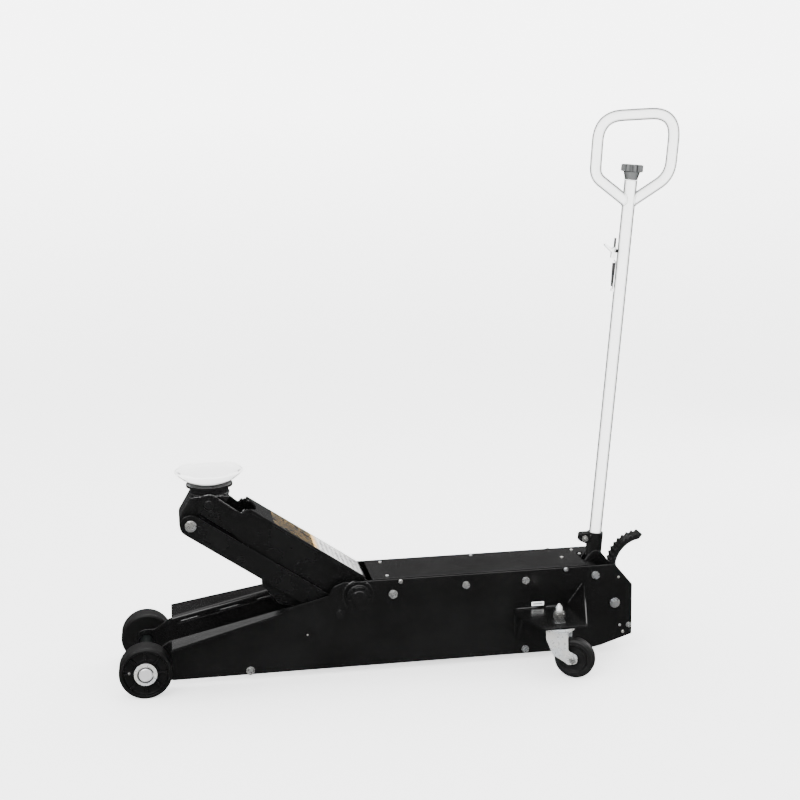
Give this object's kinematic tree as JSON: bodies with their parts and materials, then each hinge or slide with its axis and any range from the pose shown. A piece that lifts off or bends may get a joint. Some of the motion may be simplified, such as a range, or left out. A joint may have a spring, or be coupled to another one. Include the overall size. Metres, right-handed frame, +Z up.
{
  "type": "transmission jack",
  "caption": "Long low hydraulic floor jack with a lift arm, rotating dished saddle, pump handle with a grip loop, foot pedal, iron front wheels and rear swivel casters.",
  "frame": {"origin": "centre of the outline in plan, on the floor under the wheels, with the arm raised and the handle up", "axes": "+X towards the handle end, +Z up, +Y to the right of a person at the handle who faces the saddle"},
  "size_m": [1.4252, 0.511, 1.371],
  "materials": {
    "black_paint": "semi-gloss black enamel",
    "white_coating": "white powder coat",
    "zinc_plate": "bright zinc plate",
    "bare_steel": "machined steel",
    "hard_chrome": "polished",
    "cast_iron": "painted casting",
    "caster_rubber": "moulded",
    "knob_plastic": "moulded"
  },
  "bodies": {
    "chassis": {"side_frame_left": "black_paint", "side_frame_right": "black_paint", "front_axle": "bare_steel", "front_tie_bolt": "zinc_plate", "tie_bolt_front": "zinc_plate", "tie_bolt_middle": "zinc_plate", "tie_bolt_rear": "zinc_plate", "lower_tie_bolt": "zinc_plate", "deck_cover": "black_paint", "rear_cover": "black_paint", "arm_pivot_shaft": "black_paint", "arm_pivot_nut_left": "cast_iron", "arm_pivot_nut_right": "cast_iron", "link_pivot_bolt_left": "cast_iron", "link_pivot_bolt_right": "cast_iron", "handle_pivot_bolt_left": "zinc_plate", "handle_pivot_bolt_right": "zinc_plate", "pedal_pivot_bolt": "zinc_plate", "wheel_washer_left": "zinc_plate", "wheel_washer_right": "zinc_plate", "circlip_left": "zinc_plate", "circlip_right": "zinc_plate", "lift_cylinder": "black_paint", "reservoir": "black_paint", "pump_block": "cast_iron", "caster_bracket_left": "black_paint", "caster_bracket_right": "black_paint", "pedal_spring": "bare_steel"},
    "front_wheel_left": {"front_wheel_left": "cast_iron"},
    "front_wheel_right": {"front_wheel_right": "cast_iron"},
    "arm": {"lift_arm": "black_paint", "ram_pin": "bare_steel"},
    "links": {"radius_link_left": "black_paint", "radius_link_right": "black_paint", "link_front_pin": "zinc_plate"},
    "head": {"saddle_head": "black_paint", "head_pivot_pin": "black_paint"},
    "saddle": {"saddle": "white_coating"},
    "ram": {"ram": "hard_chrome", "ram_clevis": "bare_steel"},
    "plunger": {"pump_plunger": "hard_chrome"},
    "valve": {"valve_shaft": "bare_steel"},
    "handle": {"handle_socket": "black_paint", "clamp_bolt": "zinc_plate", "handle_tube": "white_coating", "latch_spring": "bare_steel"},
    "release": {"release_rod": "bare_steel", "release_knob": "knob_plastic"},
    "latch": {"latch_lever": "zinc_plate"},
    "pedal": {"foot_pedal": "black_paint"},
    "caster_left": {"caster_fork_left": "zinc_plate", "caster_nut_left": "zinc_plate", "caster_axle_left": "zinc_plate"},
    "caster_right": {"caster_fork_right": "zinc_plate", "caster_nut_right": "zinc_plate", "caster_axle_right": "zinc_plate"},
    "caster_wheel_left": {"caster_wheel_left": "caster_rubber"},
    "caster_wheel_right": {"caster_wheel_right": "caster_rubber"}
  },
  "joints": [
    {"name": "front_wheel_left_spin", "type": "hinge", "parent": "chassis", "child": "front_wheel_left", "pos_m": [-0.64907, -0.1235, 0.0635], "axis": [0, 1, 0], "continuous": true},
    {"name": "front_wheel_right_spin", "type": "hinge", "parent": "chassis", "child": "front_wheel_right", "pos_m": [-0.64907, 0.1235, 0.0635], "axis": [0, 1, 0], "continuous": true},
    {"name": "arm_lift", "type": "hinge", "parent": "chassis", "child": "arm", "pos_m": [-0.12607, 0, 0.201], "axis": [0, 1, 0], "range_deg": [-51.5, 6]},
    {"name": "link_swing", "type": "hinge", "parent": "chassis", "child": "links", "pos_m": [-0.17207, 0, 0.156], "axis": [0, 1, 0], "range_deg": [-51.5, 6]},
    {"name": "head_level", "type": "hinge", "parent": "arm", "child": "head", "pos_m": [-0.48045, 0, 0.44455], "axis": [0, 1, 0], "range_deg": [-6, 51.5]},
    {"name": "saddle_turn", "type": "hinge", "parent": "head", "child": "saddle", "pos_m": [-0.47607, 0, 0.487], "axis": [0, 0, 1], "continuous": true},
    {"name": "ram_slide", "type": "slide", "parent": "chassis", "child": "ram", "axis": [-1, 0, 0], "range_m": [-0.0825, 0.01]},
    {"name": "handle_pump", "type": "hinge", "parent": "chassis", "child": "handle", "pos_m": [0.48093, 0, 0.212], "axis": [0, 1, 0], "range_deg": [0, 50]},
    {"name": "plunger_slide", "type": "slide", "parent": "chassis", "child": "plunger", "axis": [-1, 0, 0], "range_m": [0, 0.0282]},
    {"name": "release_turn", "type": "hinge", "parent": "handle", "child": "release", "pos_m": [0.49795, 0, 0.21042], "axis": [0.0926, 0, 0.9957], "range_deg": [0, 270]},
    {"name": "valve_turn", "type": "hinge", "parent": "chassis", "child": "valve", "pos_m": [0.43093, 0, 0.211], "axis": [1, 0, 0], "range_deg": [0, 270]},
    {"name": "latch_swing", "type": "hinge", "parent": "handle", "child": "latch", "pos_m": [0.552, 0, 1.0229], "axis": [0, 1, 0], "range_deg": [-15, 0], "stiffness_Nm_per_rad": 0.6, "springref_deg": 28.65},
    {"name": "pedal_press", "type": "hinge", "parent": "chassis", "child": "pedal", "pos_m": [0.53293, -0.048, 0.1346], "axis": [0, 1, 0], "range_deg": [0, 22], "stiffness_Nm_per_rad": 20, "springref_deg": -17.19},
    {"name": "caster_left_swivel", "type": "hinge", "parent": "chassis", "child": "caster_left", "pos_m": [0.35393, -0.2, 0.125], "axis": [0, 0, 1], "continuous": true},
    {"name": "caster_wheel_left_spin", "type": "hinge", "parent": "caster_left", "child": "caster_wheel_left", "pos_m": [0.38857, -0.22, 0.05], "axis": [-0.5, -0.866, 0], "continuous": true},
    {"name": "caster_right_swivel", "type": "hinge", "parent": "chassis", "child": "caster_right", "pos_m": [0.35393, 0.2, 0.125], "axis": [0, 0, 1], "continuous": true},
    {"name": "caster_wheel_right_spin", "type": "hinge", "parent": "caster_right", "child": "caster_wheel_right", "pos_m": [0.38857, 0.22, 0.05], "axis": [-0.5, 0.866, 0], "continuous": true}
  ],
  "couplings": [
    {"joint": "link_swing", "follows": "arm_lift", "ratio": 1},
    {"joint": "head_level", "follows": "arm_lift", "ratio": -1},
    {"joint": "ram_slide", "follows": "arm_lift", "m_per_rad": 0.0911},
    {"joint": "plunger_slide", "follows": "handle_pump", "m_per_rad": 0.03185},
    {"joint": "valve_turn", "follows": "release_turn", "ratio": 1}
  ]
}
